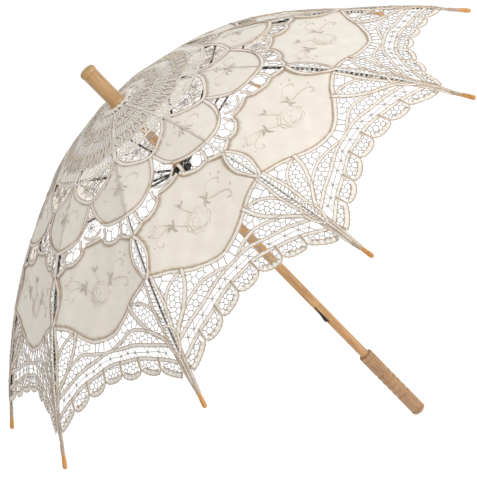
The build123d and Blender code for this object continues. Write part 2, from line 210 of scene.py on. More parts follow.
def band(flat, line, width, finish, edge=None, lift=0.0, height=0.9, section=TAPE, ripple=0.3,
         ruffle=0.0):
    """A tape along a line. Its edges are cords of their own finish, and its middle is ribbed."""
    line = np.asarray(line, float)
    n = normals(line)
    half = np.broadcast_to(np.asarray(width, float) / 2, (len(line),))
    s = np.array([p[0] for p in section])
    h = np.array([p[1] for p in section])
    rings, cells = len(line), len(section)
    xy = line[:, None, :] + n[:, None, :] * (half[:, None] * s[None, :])[:, :, None]
    rib = np.where(np.arange(rings) % 2 == 0, 1.0, 1.0 - ripple)
    lift = np.broadcast_to(np.asarray(lift, float), (rings,))
    z = lift[:, None] + height * h[None, :] * rib[:, None]
    wave = np.sin(np.arange(rings) * 1.35) * ruffle
    z = z + wave[:, None] * (s[None, :] + 1) / 2
    points = np.dstack([xy, z]).reshape(-1, 3)
    faces = quads(rings, cells, closed=True)[:, :, ::-1]
    caps = [list(range(cells)), [(rings - 1) * cells + c for c in reversed(range(cells))]]
    if edge is None:
        flat.add(points, faces.reshape(-1, 4), finish)
    else:
        on_edge = np.isin(np.arange(cells), TAPE_EDGE)
        flat.add(points, faces[:, on_edge].reshape(-1, 4), edge)
        flat.add_faces(faces[:, ~on_edge].reshape(-1, 4), finish)
    flat.add_faces(caps, finish)


def tape(flat, points, width, lift, edge="edge"):
    """A Battenberg tape: cream middle, cords along its edges."""
    band(flat, curve(points, TAPE_STEP), width, "tape", edge, lift)


def threads(flat, starts, ends, radius, finish="thread", lift=0.3):
    """Straight threads between pairs of points."""
    a, b = np.asarray(starts, float), np.asarray(ends, float)
    d = b - a
    keep = np.linalg.norm(d, axis=1) > 0.3
    a, b, d = a[keep], b[keep], d[keep]
    if not len(a):
        return
    d /= np.linalg.norm(d, axis=1)[:, None]
    side = np.stack([-d[:, 1], d[:, 0], np.zeros(len(d))], 1) * radius
    rise = np.array([0, 0, radius])
    low = np.c_[a, np.full(len(a), lift)]
    high = np.c_[b, np.full(len(b), lift)]
    points = np.stack([low + side, low + rise, low - side, low - rise,
                       high + side, high + rise, high - side, high - rise], 1).reshape(-1, 3)
    box = np.array([[0, 1, 5, 4], [1, 2, 6, 5], [2, 3, 7, 6], [3, 0, 4, 7], [3, 2, 1, 0], [4, 5, 6, 7]])
    faces = (np.arange(len(a))[:, None, None] * 8 + box[None]).reshape(-1, 4)
    flat.add(points, faces[:, ::-1], finish)


def cord(flat, line, radius, finish, lift, sides=6):
    """A round cord along a line."""
    a = np.linspace(0, 2 * math.pi, sides, endpoint=False)
    section = [(math.cos(t), math.sin(t)) for t in a]
    band(flat, line, 2 * radius, finish, None, lift, radius, section[::-1], 0.0)


CLOTH_THICK = 0.35
CLOTH_LIFT = -0.15
CLOTH_CELL = 5.0                # size of the triangles in the cloth


def fill(flat, outline, relief=0.25):
    """A closed sheet of cloth inside an outline, with slow waves in it."""
    spacing = CLOTH_CELL
    edge = even(np.vstack([outline, outline[:1]]), spacing * 0.6)[:-1]
    low, high = edge.min(0), edge.max(0)
    x, y = np.meshgrid(np.arange(low[0], high[0], spacing), np.arange(low[1], high[1], spacing * 0.866))
    x = x + (np.arange(x.shape[0])[:, None] % 2) * spacing / 2
    grid = np.c_[x.ravel(), y.ravel()]
    grid = grid[inside(grid, edge)]
    near = np.min(np.linalg.norm(grid[:, None] - edge[None], axis=2), axis=1)
    grid = grid[near > spacing * 0.45]
    n = len(edge)
    made = geometry.delaunay_2d_cdt([Vector(p) for p in np.vstack([edge, grid])],
                                    [(i, (i + 1) % n) for i in range(n)], [list(range(n))], 1, 1e-4)
    xy = np.array(made[0])
    tris = np.array(made[2])
    a, b, c = xy[tris[:, 0]], xy[tris[:, 1]], xy[tris[:, 2]]
    turned = np.cross(b - a, c - a) < 0
    tris[turned] = tris[turned][:, ::-1]
    x, y = xy.T
    wave = np.sin(x * 0.09 + 1.0) * np.sin(y * 0.07) + 0.5 * np.sin(x * 0.17 + y * 0.13)
    thicken(flat, np.c_[xy, CLOTH_LIFT + relief * wave], tris, CLOTH_THICK, "cloth")


NET_JITTER = 0.16               # how far the net's joints stray, as a share of its pitch
NET_LIFT = 0.25


def net(flat, outline, pitch, radius=0.5, stretch=1.0, finish="thread"):
    """A needle-made net of six-sided holes, tied to the outline all round."""
    edge = pitch / math.sqrt(3)
    low, high = outline.min(0), outline.max(0)
    cols = np.arange(-2, int((high[0] - low[0]) / pitch) + 3)
    rows = np.arange(-2, int((high[1] - low[1]) / (edge * 1.5 * stretch)) + 3)
    i, j = (m.ravel() for m in np.meshgrid(cols, rows))
    top = np.c_[(i + (j % 2) * 0.5) * pitch, j * 1.5 * edge + edge]
    arms = [(0, edge), (pitch / 2, -edge / 2), (-pitch / 2, -edge / 2)]
    a = np.vstack([top] * 3)
    b = np.vstack([top + np.array(arm) for arm in arms])
    size = np.array([1.0, stretch])
    stray = pitch * NET_JITTER
    a, b = scatter(a * size + low, stray), scatter(b * size + low, stray)
    a_in, b_in = inside(a, outline), inside(b, outline)
    cut = a_in != b_in
    inner, outer = np.where(a_in[:, None], a, b)[cut], np.where(a_in[:, None], b, a)[cut]
    t0, t1 = np.zeros(len(inner)), np.ones(len(inner))
    for _ in range(9):
        t = (t0 + t1) / 2
        within = inside(inner + (outer - inner) * t[:, None], outline)
        t0, t1 = np.where(within, t, t0), np.where(within, t1, t)
    both = a_in & b_in
    tied = inner + (outer - inner) * t1[:, None]
    threads(flat, np.vstack([a[both], inner]), np.vstack([b[both], tied]), radius, finish, NET_LIFT)


def knot(flat, centre, radius=2.0, height=1.1):
    """A woven wheel, domed, with a dimple."""
    sides, lift = 10, 0.2
    a = np.linspace(0, 2 * math.pi, sides, endpoint=False)
    rings = [(1.0, -0.3), (1.05, 0.35), (0.72, 0.95), (0.3, 0.7)]
    points = [
        (centre[0] + radius * r * math.cos(t), centre[1] + radius * r * math.sin(t), lift + height * h)
        for r, h in rings for t in a
    ]
    flat.add(points, quads(len(rings), sides, closed=True).reshape(-1, 4), "thread")
    last = (len(rings) - 1) * sides
    flat.add_faces([list(range(last, last + sides)), list(range(sides))[::-1]], "thread")


def spider(flat, centre, outline, spokes, turn, radius=0.38):
    """A woven wheel on threads that run out to the outline."""
    knot(flat, centre)
    a = np.linspace(0, 2 * math.pi, spokes, endpoint=False) + turn
    out = np.c_[np.cos(a), np.sin(a)]
    t0, t1 = np.zeros(spokes), np.full(spokes, 60.0)
    grid = np.linspace(0, 60, 121)
    for s in range(spokes):
        ray = np.array(centre) + out[s] * grid[:, None]
        hit = ~inside(ray, outline)
        t1[s] = grid[np.argmax(hit)] if hit.any() else 60
    start = np.array(centre) + out * 1.5
    threads(flat, start, np.array(centre) + out * t1[:, None], radius)
    ring = np.array(centre) + out * np.minimum(t1 * 0.62, 5.5)[:, None]
    threads(flat, ring, np.roll(ring, -1, axis=0), radius * 0.9)


def bars(flat, first, second, spacing, radius, slant=0.0):
    """Bars between two lines, evenly spaced."""
    first, second = np.asarray(first, float), np.asarray(second, float)
    length = np.linalg.norm(np.diff(first, axis=0), axis=1).sum()
    count = max(2, round(length / spacing))
    t = (np.arange(count) + 0.5) / count
    t2 = np.clip(t + slant / count + 0.25 * np.sin(np.arange(count) * 2.4) / count, 0, 1)
    u, v = np.linspace(0, 1, len(first)), np.linspace(0, 1, len(second))
    a = np.stack([np.interp(t, u, first[:, i]) for i in (0, 1)], 1)
    b = np.stack([np.interp(t2, v, second[:, i]) for i in (0, 1)], 1)
    threads(flat, a, b, radius)


LEAF_LENGTH = 0.88              # stitched leaves against the sizes they are drawn with
LEAF_WIDTH = 0.72
STEM_R = 0.42


def leaf(flat, x, y, angle, length, width):
    """A satin-stitched leaf, from its foot at x, y in a direction in degrees."""
    t = np.linspace(0, 1, 9)
    a = math.radians(angle)
    length, width = length * LEAF_LENGTH, width * LEAF_WIDTH
    bend = 0.12 * length * np.sin(t * math.pi)
    d, s = np.array([math.cos(a), math.sin(a)]), np.array([-math.sin(a), math.cos(a)])
    line = np.array([x, y]) + d * (t * length)[:, None] + s * bend[:, None]
    wide = np.maximum(width * np.sin(math.pi * t**0.8) ** 0.8, 0.35)
    band(flat, line, wide, "floss", None, 0.05, 0.75, SATIN, 0.25)


def stem(flat, points):
    cord(flat, curve(points, 1.8), STEM_R, "outline", 0.12, 5)


def outline_of(*runs):
    """One closed outline from several smooth runs that meet in corners."""
    return np.vstack([curve(run, 2.5)[:-1] for run in runs])


# ---- the gore's design ---------------------------------------------------------------------

# The crown's rings: their length from the crown at the ribs, and how much further their middle
# hangs. Then the tapes on the rings from the third one on.
RINGS = ((14.0, 0.0), (30.0, 3.0), (45.0, 6.0), (62.0, 7.5), (83.0, 8.0), (105.0, 7.0), (127.0, 3.0))
RING_TAPES = (2.6, 3.0, 3.2, 3.4, 4.6)
RUCHE_THICK = 0.5


def at_rib(along, inset=0.0):
    return float(rib_line(along)) - inset


def rib_point(along, inset=0.0):
    """A point on the rib, or a little inside it."""
    return at_rib(along, inset), along


def ruched(flat, low, high, pleats, depth, finish, lift):
    """A closed strip of gathered lace across the gore, from one ring to another."""
    rows, cols = max(5, round((high[0] - low[0]) / 2.5)), 6 * pleats + 1
    t, s = np.meshgrid(np.linspace(0, 1, rows), np.linspace(-1, 1, cols), indexing="ij")
    foot = low[0] + (high[0] - low[0]) * t
    along = foot + (low[1] + (high[1] - low[1]) * t) * (1 - s**2)
    fade = 0.25 + 0.75 * np.sin(t * math.pi) ** 0.5
    uneven = 0.7 + 0.3 * np.sin(along * 0.4 + s * 9)
    pleat = depth * np.cos(s * math.pi * pleats + 1.4 * np.sin(t * 5)) * fade * uneven
    top = np.stack([s * rib_line(foot), along, pleat + lift], -1).reshape(-1, 3)
    thicken(flat, top, quads(rows, cols).reshape(-1, 4), RUCHE_THICK, finish)


def gathers():
    """The gathered middle, in radial pleats."""
    flat = Flat()
    ruched(flat, RINGS[0], RINGS[1], 6, 0.8, "lace", -0.2)
    return flat


def ring_line(along, dip):
    """A line across the gore that hangs lower in its middle."""
    half = at_rib(along)
    return [(half * s, along + dip * (1 - s * s)) for s in (-1, -0.66, -0.33, 0, 0.33, 0.66, 1)]


def woven_bars(flat, low, high, spacing=3.7, width=2.5):
    """Close woven bars from one ring to another, with slits between them."""
    half = at_rib(high[0])
    count = round(2 * half / spacing)
    for k in range(count):
        share = (2 * k + 1) / count - 1
        lean = 0.05 * math.sin(2.1 * k)
        ends = []
        for ring, at in ((low, share - lean), (high, share + lean)):
            ends.append((at * at_rib(ring[0]), ring[0] + ring[1] * (1 - at**2)))
        line = even(np.array(ends), 2.4)
        waist = 0.75 + 0.25 * np.cos(np.linspace(-1, 1, len(line)) * 2.2)
        wide = width * waist * np.linspace(0.85, 1.1, len(line))
        room = spacing * at_rib(low[0]) / half * 0.9
        band(flat, line, np.minimum(wide, room), "tape", None, 0.0, 0.5, SATIN, 0.15)


def petals(flat, low, high, count):
    """Loops of tape side by side on a strip."""
    middle = (low[0] + high[0]) / 2
    for p in range(count):
        share = 2 * (p + 0.5) / count - 1
        drop = (low[1] + high[1]) / 2 * (1 - share**2)
        centre = share * at_rib(middle, 1.0)
        half = at_rib(middle, 2.0) / count * 0.8
        loop = [(centre - half * 0.4, low[0] + drop), (centre - half * 0.95, middle + drop + 1),
                (centre - half * 0.4, high[0] + drop - 2), (centre + half * 0.4, high[0] + drop - 2),
                (centre + half * 0.95, middle + drop + 1), (centre + half * 0.4, low[0] + drop)]
        tape(flat, loop, 3.0, 0.7, "outline")


def crown_rings():
    """The crown's lace on its lining: strips of bars and of petals in turn, and tapes between them."""
    flat = Flat()
    ruched(flat, RINGS[1], RINGS[5], 4, 0.15, "cloth", -0.55)
    for k, (low, high) in enumerate(zip(RINGS[1:-1], RINGS[2:])):
        if k % 2 == 0:
            woven_bars(flat, low, high)
        else:
            woven_bars(flat, low, high, 3.6, 2.2)
            petals(flat, low, high, 1 + k)
    for ring, wide in zip(RINGS[2:], RING_TAPES):
        tape(flat, ring_line(*ring), wide, 0.3, "outline")
    return flat


CROWN_WINDOW = [(-28, 130.5), (-22, 145), (-9, 156.5), (0, 160), (9, 156.5), (22, 145), (28, 130.5)]
CROWN_V = [(-36, 129), (-31, 144), (-18, 157.5), (0, 166), (18, 157.5), (31, 144), (36, 129)]
SMALL_TOP = [(0.5, 170), (20, 160), (34, 145), (38.5, 131)]
SMALL_LOW = [(0.5, 171), (8, 189), (20, 203), (35, 210), (50, 212.5), (62, 213)]
SMALL_TAPE = [(1.5, 168), (6, 181), (13, 195), (23, 206), (37, 213), (50, 215.3), (64.5, 215.5)]
SMALL_CORD = [(7, 190), (12, 197), (20, 203.4), (35, 210.2), (50, 212.2), (63, 212.5)]
TRIANGLE_HALF = [(0, 183), (8, 191), (15, 203), (15, 210), (8, 214), (0, 215)]
TRIANGLE_TAPE = [(-15.5, 209), (-8, 215.5), (0, 217), (8, 215.5), (15.5, 209)]
SCALLOPS = [
    [(0, 222), (8, 221.5), (14.5, 219.5)],
    [(14.5, 219.5), (19, 228), (28, 235.5), (40, 239), (51, 237.5)],
    [(51, 237.5), (57, 241.5), (64, 244.5), (74.5, 246)],
]


def small_medallions():
    """Outlines of the two plain half medallions beside the ribs."""
    out = []
    for side in (-1, 1):
        rib = [rib_point(y) for y in (213.0, 186.0, 160.0, 131.0)]
        runs = [SMALL_LOW[:-1] + [rib[0]], rib, [rib[-1], (38.5, 131)], SMALL_TOP[::-1]]
        outline = mirrored(outline_of(*runs), side)
        out.append(outline if side > 0 else outline[::-1])
    return out


def upper_cloth():
    flat = Flat()
    for outline in small_medallions():
        fill(flat, outline)
    return flat


def upper_lace():
    """Crown window, the tapes round the small medallions, and their sprigs."""
    flat = Flat()
    tape(flat, CROWN_V, 6.0, 0.2)
    window = curve(CROWN_WINDOW, 2.5)
    net(flat, window, 11.0, 0.4, finish="outline")
    for x, y in ((-12, 143), (3, 149.5), (15, 140)):
        spider(flat, (x, y), window, 6, 0.2 * x, 0.36)
    triangle = curve([(-x, y) for x, y in TRIANGLE_HALF] + TRIANGLE_HALF[-2::-1])
    spider(flat, (-1, 202.5), triangle, 9, 0.1)
    for y in (188.5, 193.5):
        half = (y - 181) * 0.95
        threads(flat, [(-half, y)], [(half, y)], 0.8, "tape")
    tape(flat, TRIANGLE_TAPE, 3.8, 0.2)
    for side in (-1, 1):
        end = SMALL_TAPE[-1][1]
        tape(flat, mirrored(SMALL_TAPE[:-1] + [rib_point(end)], side), 5.6, 0.35)
        cord(flat, curve(mirrored(SMALL_CORD, side)), 0.9, "edge", 0.5)
        rib = at_rib(170)
        leaf(flat, side * (rib - 3), 166, 90 - side * 38, 9, 3.0)
        leaf(flat, side * (rib - 5), 172, 90 + side * 28, 9, 3.0)
        leaf(flat, side * (rib - 2), 172, 90 + side * 4, 10, 3.0)
        leaf(flat, side * (rib - 9), 160, 270 + side * 20, 7, 2.6)
        curl = [(rib - 4, 171), (rib - 14, 165), (rib - 24, 168), (rib - 27, 175), (rib - 22, 178)]
        stem(flat, mirrored(curl, side))
    return flat


def window_band():
    """The band of open windows between the small medallions and the rose medallion."""
    flat = Flat()
    for side in (-1, 1):
        lower = np.vstack([curve(run) for run in SCALLOPS])
        for x, foot in ((21.5, 211.0), (52.0, 217.5)):
            end = np.interp(x, *lower.T)
            tape(flat, mirrored([(x, foot), (x + 1.0, (foot + end) / 2), (x - 0.5, end)], side), 4.6, 0.1)
        cells = outline_of([(24, 213), (37, 218), (50, 219)], [(50, 219), (50.5, 236)],
                           [(50.5, 236), (40, 237.5), (28, 233), (22.5, 226)], [(22.5, 226), (24, 213)])
        net(flat, mirrored(cells, side), 13.0, 0.52, 1.25)
        outer = outline_of([(54, 219.5), (65, 219)], [rib_point(219), rib_point(244)],
                           [rib_point(244), (62, 241), (54, 237)], [(54, 237), (54, 219.5)])
        net(flat, mirrored(outer, side), 11.0, 0.52, 1.1)
    return flat


ROSE_HALF = [
    [(0, 225), (8, 224.8), (15.5, 223.5)],
    [(15.5, 223.5), (20, 232), (30, 238.2), (40, 241), (50.5, 239.5)],
    [(50.5, 239.5), (59, 244), (67, 247)],
    [(67, 247), (65, 256), (64.5, 268), (68, 281), (76, 294), (81, 304)],
    [(81, 304), (70, 309), (58, 315), (47.5, 323)],
    [(47.5, 323), (35, 332), (18, 340.5), (0, 344)],
]


def rose_outline():
    left = [mirrored(run, -1)[::-1] for run in ROSE_HALF[::-1]]
    return outline_of(*ROSE_HALF, *left)


def rose_cloth():
    flat = Flat()
    fill(flat, rose_outline(), relief=0.5)
    return flat


def rose_lace():
    """Tapes round the rose medallion, and its embroidery."""
    flat = Flat()
    for side in (-1, 1):
        for k, run in enumerate(ROSE_HALF):
            points = mirrored(run, side)
            cord(flat, curve(points), 1.05, "edge", 0.25)
            line = curve(points, TAPE_STEP)
            line = line - normals(line) * side * 2.9
            if k != 3:
                band(flat, line, 5.4, "tape", "edge", 0.1 + 0.15 * (k % 2))
        tape(flat, mirrored([(47.5, 322), (49, 327), (52, 332)], side), 5.6, 0.8)
    rose(flat, 3, 291)
    for x, y, turn in ((-24, 274, 0), (23, 278, 8)):
        for angle in (118, 52, 255, 292) if x > 0 else (128, 62, 188, 278):
            leaf(flat, x, y, -angle + turn, 11, 3.9)
    leaf(flat, -4, 262, -96, 9, 3.6)
    leaf(flat, -1, 259, -62, 7, 2.8)
    stem(flat, [(2, 276), (-1, 268), (-4, 261), (-8, 252)])
    stem(flat, [(-11, 287), (-18, 279), (-25, 273), (-36, 270), (-48, 272), (-53, 279), (-48, 285),
                (-44, 281)])
    stem(flat, [(17, 287), (21, 279), (31, 282), (43, 285), (52, 291), (50, 299), (45, 296)])
    stem(flat, [(-25, 273), (-34, 262), (-45, 259), (-52, 265), (-48, 269)])
    stem(flat, [(21, 279), (31, 266), (42, 262), (50, 268), (46, 273)])
    for x, y in ((-53, 262), (-41, 256), (52, 262), (44, 256), (-56, 280), (55, 286)):
        leaf(flat, x, y, 200 if x < 0 else -20, 4.2, 1.8)
    return flat


def rose(flat, x, y):
    """A rose in outline: lobed rings, a curled heart and two satin petals."""
    for size, lobes, turn, swell in ((16.0, 9, 0.4, 0.16), (12.4, 7, 1.3, 0.2), (8.2, 5, 0.2, 0.24)):
        a = np.linspace(0, 2 * math.pi, 61)
        r = size * (1 + swell * np.abs(np.sin(lobes * a / 2 + turn)) - swell / 2)
        ring = np.c_[x + r * np.cos(a), y + r * 0.92 * np.sin(a)]
        cord(flat, even(ring, 1.8), STEM_R, "outline", 0.1, 5)
    a = np.linspace(0, 3.0 * math.pi, 36)
    heart = np.c_[x + a * 0.32 * np.cos(a), y + a * 0.3 * np.sin(a)]
    cord(flat, even(heart, 1.5), STEM_R, "outline", 0.12, 5)
    leaf(flat, x + 1, y - 3, 60, 8, 2.6)
    leaf(flat, x - 8, y + 6, 20, 10, 2.2)
    leaf(flat, x + 8, y - 7, 75, 9, 2.0)
    leaf(flat, x - 3, y + 11, -8, 12, 2.0)


UPPER_ARCH = [(0, 362.5), (30, 366.5), (60, 376), (85, 385.5), (105, 394)]
LOWER_ARCH = [(0, 379), (20, 380.5), (50, 388.5), (80, 400.5), (107, 414)]
HUMP = [(8, 361.5), (24, 356.5), (43, 353), (60, 358), (76, 366.5), (92, 379)]
LADDER_HIGH = [(0, 349.5), (19, 346), (37, 337), (47, 329)]
LADDER_LOW = [(0, 360.5), (12, 358), (26, 353.5), (43, 350), (52, 352)]
LEAF_OUT = [(48, 324), (61, 326.5), (75, 333), (86, 344.5), (96, 360)]
LEAF_IN = [(48, 324.5), (55, 340), (65, 354), (78, 368), (93, 381), (99, 388)]
# Where the hem's scallops meet, and how far each one hangs below the line between its ends.
NOTCHES = [(-110, 431), (-77, 412), (-46.5, 401), (-15.5, 393.5),
           (15.5, 393.5), (46.5, 401), (77, 412), (110, 431)]
SCALLOP_DROPS = (5.0, 8.6, 8.2, 7.4, 9.2, 7.6, 5.8)


def whole(points):
    """A line and its mirror image as one, through the middle."""
    return np.vstack([mirrored(points[:0:-1], -1), points])


def border_lace():
    """Net, leaves and arches between the rose medallion and the hem."""
    flat = Flat()
    for side in (-1, 1):
        tape(flat, mirrored(LEAF_OUT, side), 4.4, 0.1)
        tape(flat, mirrored(LEAF_IN, side), 5.6, 0.45)
        tape(flat, mirrored(HUMP, side), 4.6, 0.3)
        leaf_net = outline_of([(51, 327), (61, 329), (74, 335.5), (84, 346.5), (93.5, 361)],
                              [(93.5, 361), (95, 376)],
                              [(92, 377), (80, 366), (67, 351.5), (57, 337.5), (51, 327)])
        net(flat, mirrored(leaf_net, side), 7.0)
        corner = outline_of([(80, 306.5), (70, 311.5), (59, 318.5), (50, 325)],
                            [(50, 325), (61, 324.5), (75, 330.5), (87, 342)],
                            [(87, 342), (85.5, 330), (82.5, 318), (80, 306.5)])
        net(flat, mirrored(corner, side), 13.5, 0.55)
        ladder = curve(mirrored(LADDER_HIGH, side))
        under = curve(mirrored(LADDER_LOW, side))
        split = len(ladder) // 2
        bars(flat, ladder[:split], under[: len(under) // 2], 8.5, 0.62, slant=0.3)
        cell = outline_of([(25, 344), (38, 337.5), (47, 331)], [(48, 331), (54, 342), (61, 353)],
                          [(61, 355), (52, 351), (43, 350), (30, 352.5)], [(30, 352.5), (25, 344)])
        net(flat, mirrored(cell, side), 8.6, 0.52)
        under_hump = outline_of([(14, 361.5), (26, 358.5), (43, 355.5), (59, 360.5), (75, 369), (90, 381)],
                                [(90, 381), (98, 389)],
                                [(98, 389), (84, 383), (60, 373.5), (30, 364), (14, 361.5)])
        net(flat, mirrored(under_hump, side), 7.4)
    tape(flat, whole(UPPER_ARCH), 5.0, 0.2)
    tape(flat, whole(LOWER_ARCH), 5.0, 0.2)
    high, low = curve(whole(UPPER_ARCH), 2.0), curve(whole(LOWER_ARCH), 2.0)
    spacing, reach = 15.5, 5.5
    knots = []
    for k in range(-6, 7):
        x = k * spacing + 3 * math.sin(1.7 * k)
        y = (np.interp(x, *high.T) + np.interp(x, *low.T)) / 2 + math.sin(2.3 * k)
        knot(flat, (x, y), 1.4, 0.9)
        knots.append((x, y))
        for line in (high, low):
            for to in (x - reach, x + reach):
                threads(flat, [(x, y)], [(to, np.interp(to, *line.T))], 0.4)
    threads(flat, knots[:-1], knots[1:], 0.45)
    return flat


def hem_lace():
    """The ruffled scallops along the hem, the gathers where they meet, and the net inside."""
    flat = Flat()
    arch = curve(whole(LOWER_ARCH), 2.0)
    wide = 7.4
    t = np.linspace(0, math.pi, 25)
    for (x0, y0), (x1, y1), drop in zip(NOTCHES[:-1], NOTCHES[1:], SCALLOP_DROPS):
        x = (x0 + x1) / 2 - (x1 - x0) / 2 * np.cos(t)
        y = y0 + (y1 - y0) * (x - x0) / (x1 - x0) + drop * np.sin(t) ** 0.95
        scallop = even(np.c_[x, y], 1.7)
        line = (scallop - normals(scallop) * wide / 2)[::-1]
        swell = 1 + 0.1 * np.sin(np.arange(len(line)) * 1.9)
        band(flat, line, wide * swell, "tape", "edge", 0.25, ruffle=1.9)
        back = np.c_[x[::-1], np.interp(x[::-1], *arch.T) + 1.5]
        hole = np.vstack([np.c_[x, y - wide], back])
        low = hole[: len(t), 1]
        if (low > back[::-1, 1] + 1.0).any():
            low[:] = np.maximum(low, back[::-1, 1] + 0.4)
            net(flat, hole, 6.6)
    for x, y in NOTCHES[1:-1]:
        foot = float(np.interp(x, *arch.T))
        # The middle strand of each gather takes the dark tan cord colour: painted shade in the fold between
        # the two lighter strands.
        for side, finish in ((-1, "lace"), (0, "edge"), (1, "lace")):
            fold = [(x + side * 2.0, foot - 1), (x + side * 1.6, (foot + y) / 2),
                    (x + side * 0.8, y + 0.5)]
            band(flat, curve(fold, TAPE_STEP), 1.9, finish, None, 1.0 - 0.3 * abs(side), 0.9, SATIN)
    return flat


LENS = [(67.8, 256), (67.5, 270), (71, 283), (79, 297)]
RIB_TAPE = [(81, 305), (84, 322), (87, 342), (92.5, 362), (98.5, 381), (104, 400), (108.6, 417), (112, 431),
            (115, 443), (116.8, 450), (118.2, 456)]
RIB_LIFT = -2.7                 # the ribs' middle line, off the canopy
ROUND = [(math.cos(t), -math.sin(t)) for t in np.linspace(0, 2 * math.pi, 10, endpoint=False)]


def on_rib(along, side):
    """Points on the rib at one side of the gore."""
    return np.c_[side * rib_line(along), along]


def sink(line):
    """How a tape beside a rib goes down to the rib's middle line at the rib's end."""
    return np.interp(line[:, 1], (418, 447), (0.35, RIB_LIFT + 0.4))


def wrap(flat, side, start, end, wide, high, finish):
    """Thread wound round a rib from one length from the crown to another."""
    along = np.arange(start, end, 0.7)
    ridges = np.where(np.arange(len(along)) % 2 == 0, 1.0, 0.86)
    ridges[[0, -1]] = 0.6
    band(flat, on_rib(along, side), 2 * wide * ridges, finish, None, RIB_LIFT, high, ROUND, 0.14)


def seam_half(flat, side):
    """What lies beside a rib, on one side of it: the lens, the bars, the loop and the gathered end."""
    lens = [rib_point(244), *LENS, rib_point(305)]
    band(flat, mirrored(curve(lens, TAPE_STEP), side), 4.8, "tape", "edge", 0.5)
    hole = outline_of([rib_point(250), (70.5, 260), (70.5, 271), (74.5, 284), rib_point(299)],
                      [rib_point(299), rib_point(275), rib_point(250)])
    net(flat, mirrored(hole, side), 6.6, 0.48, 1.2)
    line = curve(RIB_TAPE, TAPE_STEP)
    wide = np.interp(line[:, 1], (425, 456), (4.6, 2.6))
    band(flat, mirrored(line, side), wide, "tape", "edge", sink(line))
    inner = mirrored(curve(np.array(RIB_TAPE) + [2, 0]), side)
    along = inner[:, 1]
    ribside = np.c_[side * (rib_line(along) - 0.5), along + 2]
    span = (along > 309) & (along < 404)
    bars(flat, inner[span], ribside[span], 5.4, 0.6)
    loop = [rib_point(368, 1), (at_rib(380, 8), 378), (at_rib(395, 7.5), 394), (at_rib(408, 1.5), 407)]
    tape(flat, mirrored(loop, side), 3.6, 0.7)
    for k in range(2):
        end = curve([rib_point(404, 2 + 2.2 * k), rib_point(420, 1.8 + 1.2 * k),
                     rib_point(434, 1.6 + 0.5 * k), rib_point(446, 1.9)], TAPE_STEP)
        band(flat, mirrored(end, side), 1.8, "lace", "edge", sink(end) + 0.2 * k)


# The tapes over a rib: from where to where along it, and how wide.
RIB_COVERS = ((212, 246, 3.8), (246, 305, 2.5), (305, 444, 1.3))


def seam_cover(flat, side):
    """What lies over a rib: flat lace, a cord on the cloth, then tape, wound thread and the end's
    binding."""
    band(flat, on_rib(np.arange(28, 130, 2.0), side), 4.0, "lace", None, 0.3, 0.5, SATIN)
    cord(flat, on_rib(np.arange(130, 213, 2.0), side), 0.5, "outline", 0.15)
    for start, end, wide in RIB_COVERS:
        along = np.arange(start, end, 2.0)
        lift = np.interp(along, (425, 444), (0.2, -1.4))
        band(flat, on_rib(along, side), wide, "tape", None, lift, 0.7)
    for along in np.arange(249, 440, 6.0):
        wrap(flat, side, along, along + 3.5, 1.35, 1.95, "tape")
    wrap(flat, side, 443.0, 457.0, 2.5, 2.5, "edge")


# ---- from flat lace to objects ---------------------------------------------------------------


def warp(points, phases):
    """Hand-made unevenness of one gore: nothing at the ribs, a few millimetres in its middle."""
    a, b, c, d = phases
    across, along = points[:, 0], points[:, 1]
    free = 1 - np.clip(across / np.maximum(rib_line(along), 1.0), -1, 1) ** 2
    free = free * np.clip((along - 90) / 100, 0, 1)
    moved = points.copy()
    moved[:, 0] += free * (2.6 * np.sin(along * 0.021 + a) + 0.7 * np.sin(along * 0.11 + across * 0.05 + b))
    moved[:, 1] += free * (3.2 * np.sin(across * 0.023 + c) + 0.8 * np.sin(across * 0.12 + d))
    moved[:, 2] += free * (0.5 * np.sin(along * 0.05 + across * 0.06 + d)
                           + 0.35 * np.sin(across * 0.16 - along * 0.09 + a))
    return moved


def place_object(name, data):
    obj = bpy.data.objects.new(name, data)
    bpy.context.scene.collection.objects.link(obj)
    return obj


def build(name, parts):
    """One object from laid lace: parts are (flat, points in metres)."""
    used = sorted({finish for flat, _ in parts for _, finish in flat.faces})
    base, blocks, weave, points = 0, [], [], []
    for flat, laid in parts:
        for faces, finish in flat.faces:
            blocks.append((faces + base, used.index(finish)))
        points.append(laid)
        weave.append(np.vstack(flat.points))
        base += flat.count
    points, weave = np.vstack(points), np.vstack(weave)
    totals = np.concatenate([np.full(len(f), f.shape[1]) for f, _ in blocks])
    corners = np.concatenate([f.ravel() for f, _ in blocks])
    slots = np.concatenate([np.full(len(f), m) for f, m in blocks])
    mesh = bpy.data.meshes.new(name)
    mesh.vertices.add(len(points))
    mesh.vertices.foreach_set("co", points.astype(np.float32).ravel())
    mesh.loops.add(len(corners))
    mesh.loops.foreach_set("vertex_index", corners.astype(np.int32))
    mesh.polygons.add(len(totals))
    starts = np.concatenate([[0], np.cumsum(totals)[:-1]])
    mesh.polygons.foreach_set("loop_start", starts.astype(np.int32))
    mesh.polygons.foreach_set("loop_total", totals.astype(np.int32))
    mesh.polygons.foreach_set("material_index", slots.astype(np.int32))
    mesh.polygons.foreach_set("use_smooth", np.ones(len(totals), bool))
    layer = mesh.attributes.new("weave", "FLOAT_VECTOR", "POINT")
    layer.data.foreach_set("vector", (weave * MM).astype(np.float32).ravel())
    mesh.update(calc_edges=True)
    for finish in used:
        mesh.materials.append(FINISHES[finish])
    obj = place_object(name, mesh)
    return obj


# ---- materials -------------------------------------------------------------------------------


def material(name, roughness, metallic=0.0):
    m = bpy.data.materials.new(name)
    m.use_nodes = True
    shader = m.node_tree.nodes["Principled BSDF"]
    dial(shader, {"Roughness": roughness, "Metallic": metallic})
    return m, m.node_tree, shader


